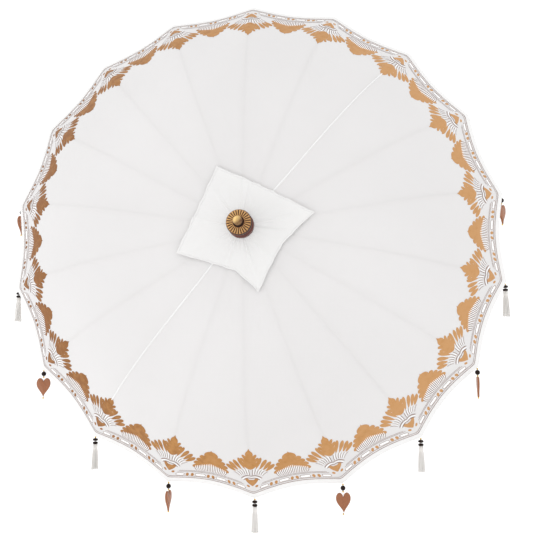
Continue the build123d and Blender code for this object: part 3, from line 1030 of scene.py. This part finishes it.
def revolved_z(outline, turns, wobble=None):
    """A turned shape about Z, hanging: outline is a list of (radius, depth)."""
    points = []
    for r, depth in outline:
        for j in range(turns):
            a = 2 * math.pi * j / turns
            scale = wobble(a, depth) if wobble else 1.0
            points.append((r * scale * math.cos(a), r * scale * math.sin(a), -depth))
    return points, grid_faces(len(outline), turns, closed=True)


def bead_outline(radius, height, depth, steps=14, power=1.0, hole=0.25):
    turn = np.linspace(-math.pi / 2, math.pi / 2, steps)
    half = height / 2
    return [(radius * max(math.cos(t) ** power, hole), depth + half * (1 + math.sin(t))) for t in turn]


def heart_mesh(depth, turn, seed):
    """A heart cut from board, with softened edges and a slight lean."""
    rng = random.Random(seed)
    outline = []
    for t in np.linspace(0, 2 * math.pi, 60, endpoint=False):
        x = HEART_HALF * math.sin(t) ** 3
        z = (13 * math.cos(t) - 5 * math.cos(2 * t) - 2 * math.cos(3 * t) - math.cos(4 * t)) / 29
        outline.append((x, (z - 0.41) * HEART_H))
    layers = [(0.90, -0.0050), (0.975, -0.0044), (1.0, -0.0022), (1.0, 0.0022), (0.975, 0.0044),
              (0.90, 0.0050)]
    points = []
    for scale, y in layers:
        points += [(x * scale, y, (z + 0.4 * HEART_H) * scale - 0.4 * HEART_H) for x, z in outline]
    faces = grid_faces(len(layers), len(outline), closed=True)
    n = len(outline)
    faces += [tuple(range(n))[::-1], tuple(range(n * (len(layers) - 1), n * len(layers)))]
    tilt = Matrix.Rotation(math.radians(rng.uniform(-3, 3)), 3, "Y")
    lean = Matrix.Rotation(math.radians(turn), 3, "Z") @ tilt
    return [tuple(lean @ Vector(p) + Vector((0, 0, -depth))) for p in points], faces


def strands(depth, seed):
    """The tassel's skirt: a lobed bundle of yarn with a bound neck and single threads at its surface."""
    rng = random.Random(seed)
    count = 26
    reach = [rng.uniform(0.93, 1.0) for _ in range(count)]
    phase = [rng.uniform(-0.08, 0.08) for _ in range(count)]
    flare = [(0.0, 0.0095), (0.08, 0.0105), (0.13, 0.0088), (0.17, 0.0086), (0.28, 0.0115), (0.5, 0.0132),
             (0.75, 0.0146), (1.0, 0.0160)]
    parts = []
    for i in range(count):
        a = 2 * math.pi * i / count + phase[i]
        path = []
        for share in np.linspace(0, 1, 15):
            r = float(np.interp(share, *zip(*flare)))
            swing = 0.05 * math.sin(5 * share + i)
            drop = depth + share * reach[i] * TASSEL_L
            path.append((r * math.cos(a + swing), r * math.sin(a + swing), -drop))
        parts.append(tube_along(path, 0.0014, 6))
    core = [(0.78 * r, depth + share * TASSEL_L * 0.96) for share, r in flare]
    top, bottom = (0.0005, depth), (0.0005, depth + TASSEL_L * 0.955)
    parts.append(revolved_z([top, *core, bottom], 26))
    binding = [(0.0102, depth + 0.0165), (0.0110, depth + 0.018), (0.0110, depth + 0.022),
               (0.0102, depth + 0.0235)]
    parts.append(revolved_z(binding, 26))
    return join(parts)


def tube_along(path, radius, sides):
    """A round tube with closed ends along a path."""
    path = np.array([tuple(p) for p in path])
    along = np.gradient(path, axis=0)
    points = []
    for p, d in zip(path, along):
        d = d / np.linalg.norm(d)
        across = np.cross(d, (1.0, 0, 0) if abs(d[0]) < 0.8 else (0, 1.0, 0))
        across /= np.linalg.norm(across)
        other = np.cross(d, across)
        for j in range(sides):
            a = 2 * math.pi * j / sides
            points.append(tuple(p + radius * (math.cos(a) * across + math.sin(a) * other)))
    faces = grid_faces(len(path), sides, closed=True)
    last = sides * (len(path) - 1)
    return points, faces + [tuple(range(sides))[::-1], tuple(range(last, last + sides))]


def hang(name, k, shape, material, node):
    points, faces = shape
    tip = Vector((TIP_R * math.sin(STEP * k), TIP_Y + BEHIND, TIP_R * math.cos(STEP * k)))
    obj = new_mesh(f"{name}_{k + 1:02d}", [tuple(tip + Vector(p)) for p in points], faces, material)
    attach(obj, f"rib_{k + 1:02d}")
    if k in (0, 1):
        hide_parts(node)
    return obj


def loop_of_thread(k):
    """The thread from the hem at the rib tip back to the point that the pendant hangs from."""
    back = -BEHIND
    out = Vector((math.sin(STEP * k), 0, math.cos(STEP * k)))
    path = [out * -0.004 + Vector((0, back - 0.0022, 0)), out * 0.0018 + Vector((0, back - 0.0018, 0)),
            out * 0.0024 + Vector((0, back + 0.003, 0)), Vector((0, 0.5 * back, 0.0006)), Vector((0, 0, 0))]
    return tube_along(path, THREAD_R, 8)


for k in range(RIBS):
    depth = THREAD_L
    gold = [revolved_z(bead_outline(GOLD_R, 2 * GOLD_R, depth), 20)]
    depth += 2 * GOLD_R
    down = [(0, 0, 0.0), (0, 0, -0.5 * THREAD_L), (0, 0, -THREAD_L)]
    threads = [loop_of_thread(k), tube_along(down, THREAD_R, 8)]
    if k % 2:
        dark = [revolved_z(bead_outline(DARK_R, DARK_H, depth, power=0.55), 28)]
        depth += DARK_H
        threads.append(revolved_z([(CORD_R, depth - 0.001), (CORD_R, depth + CORD_L + 0.001)], 16))
        depth += CORD_L
        dark.append(revolved_z(bead_outline(DARK_R, DARK_H, depth, power=0.55), 28))
        depth += DARK_H
        hang("pendant_tassel", k, strands(depth, k), TASSEL_YARN, "tassels")
    else:
        dark = [revolved_z(bead_outline(BALL_R, 2 * BALL_R, depth, hole=0.1), 28)]
        depth += 2 * BALL_R
        gold.append(revolved_z(bead_outline(GOLD_R, 2 * GOLD_R, depth), 20))
        depth += 2 * GOLD_R
        threads.append(tube_along([(0, 0, -depth), (0, 0, -depth - HEART_NOTCH - 0.006)], THREAD_R, 8))
        heart = heart_mesh(depth, HEART_TURNS[k // 2], k)
        hang("pendant_heart", k, heart, HEART_WOOD, "hearts")
        gold.append(revolved_z(bead_outline(GOLD_R, 2 * GOLD_R, depth + 0.985 * HEART_H), 20))
    hang("pendant_thread", k, join(threads), TASSEL_YARN, "threads")
    hang("pendant_gold_beads", k, join(gold), GOLD_BEAD, "gold_beads")
    hang("pendant_dark_beads", k, join(dark), DARK_BEAD, "dark_beads")

# ---------------------------------------------------------------- floor, light and camera
FLOOR_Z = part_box("hearts")[0].z - 0.25


def glow(s, tone):
    """A pale surface that also gives light of its own."""
    lit = s.node("ShaderNodeEmission")
    lit.inputs["Color"].default_value = (1, 1, 1, 1)
    lit.inputs["Strength"].default_value = 0.16
    added = s.node("ShaderNodeAddShader")
    s.link(s.principled(tone, rough=0.9), added.inputs[0])
    s.link(lit.outputs[0], added.inputs[1])
    return added.outputs[0]


def studio():
    s = Shader("pale_floor")
    tone = s.ramp(s.noise(0.6, 2.0), (0.3, (0.90, 0.90, 0.90)), (0.7, (0.93, 0.93, 0.93)))
    corners = [(x, y, FLOOR_Z) for x, y in ((-30, -30), (30, -30), (30, 30), (-30, 30))]
    floor = new_mesh("floor", corners, [(0, 1, 2, 3)], s.done(glow(s, tone)))
    world = bpy.data.worlds.new("studio")
    bpy.context.scene.world = world
    world.use_nodes = True
    background = world.node_tree.nodes["Background"]
    background.inputs["Color"].default_value = (1.0, 1.0, 1.0, 1)
    background.inputs["Strength"].default_value = 1.18
    return world


def area_light(name, place, target, size, power, colour=(1, 1, 1)):
    data = bpy.data.lights.new(name, "AREA")
    data.energy = power
    data.size = size
    data.color = colour
    obj = bpy.data.objects.new(name, data)
    obj.location = place
    obj.rotation_mode = "QUATERNION"
    obj.rotation_quaternion = (Vector(target) - Vector(place)).to_track_quat("-Z", "Y")
    bpy.context.scene.collection.objects.link(obj)


CAMERA_AZIMUTH = math.radians(5.777)
CAMERA_ELEVATION = math.radians(-7.476)
CAMERA_ROLL = math.radians(-0.235)
CAMERA_AT = Vector((0.449, -5.954, -0.625))
LENS = 51.93


def camera():
    data = bpy.data.cameras.new("camera")
    data.sensor_width = 36
    data.lens = LENS
    obj = bpy.data.objects.new("camera", data)
    back = Vector((math.sin(CAMERA_AZIMUTH) * math.cos(CAMERA_ELEVATION),
                   -math.cos(CAMERA_AZIMUTH) * math.cos(CAMERA_ELEVATION), math.sin(CAMERA_ELEVATION)))
    turn = (-back).to_track_quat("-Z", "Y").to_matrix() @ Matrix.Rotation(CAMERA_ROLL, 3, "Z")
    obj.rotation_mode = "QUATERNION"
    obj.rotation_quaternion = turn.to_quaternion()
    obj.location = CAMERA_AT
    bpy.context.scene.collection.objects.link(obj)
    bpy.context.scene.camera = obj


studio()
camera()
area_light("key", (-2.2, -4.8, -0.9), (-0.3, -2.3, -0.5), 1.2, 7)
bpy.context.scene.view_settings.view_transform = "Standard"
bpy.context.scene.view_settings.look = "None"
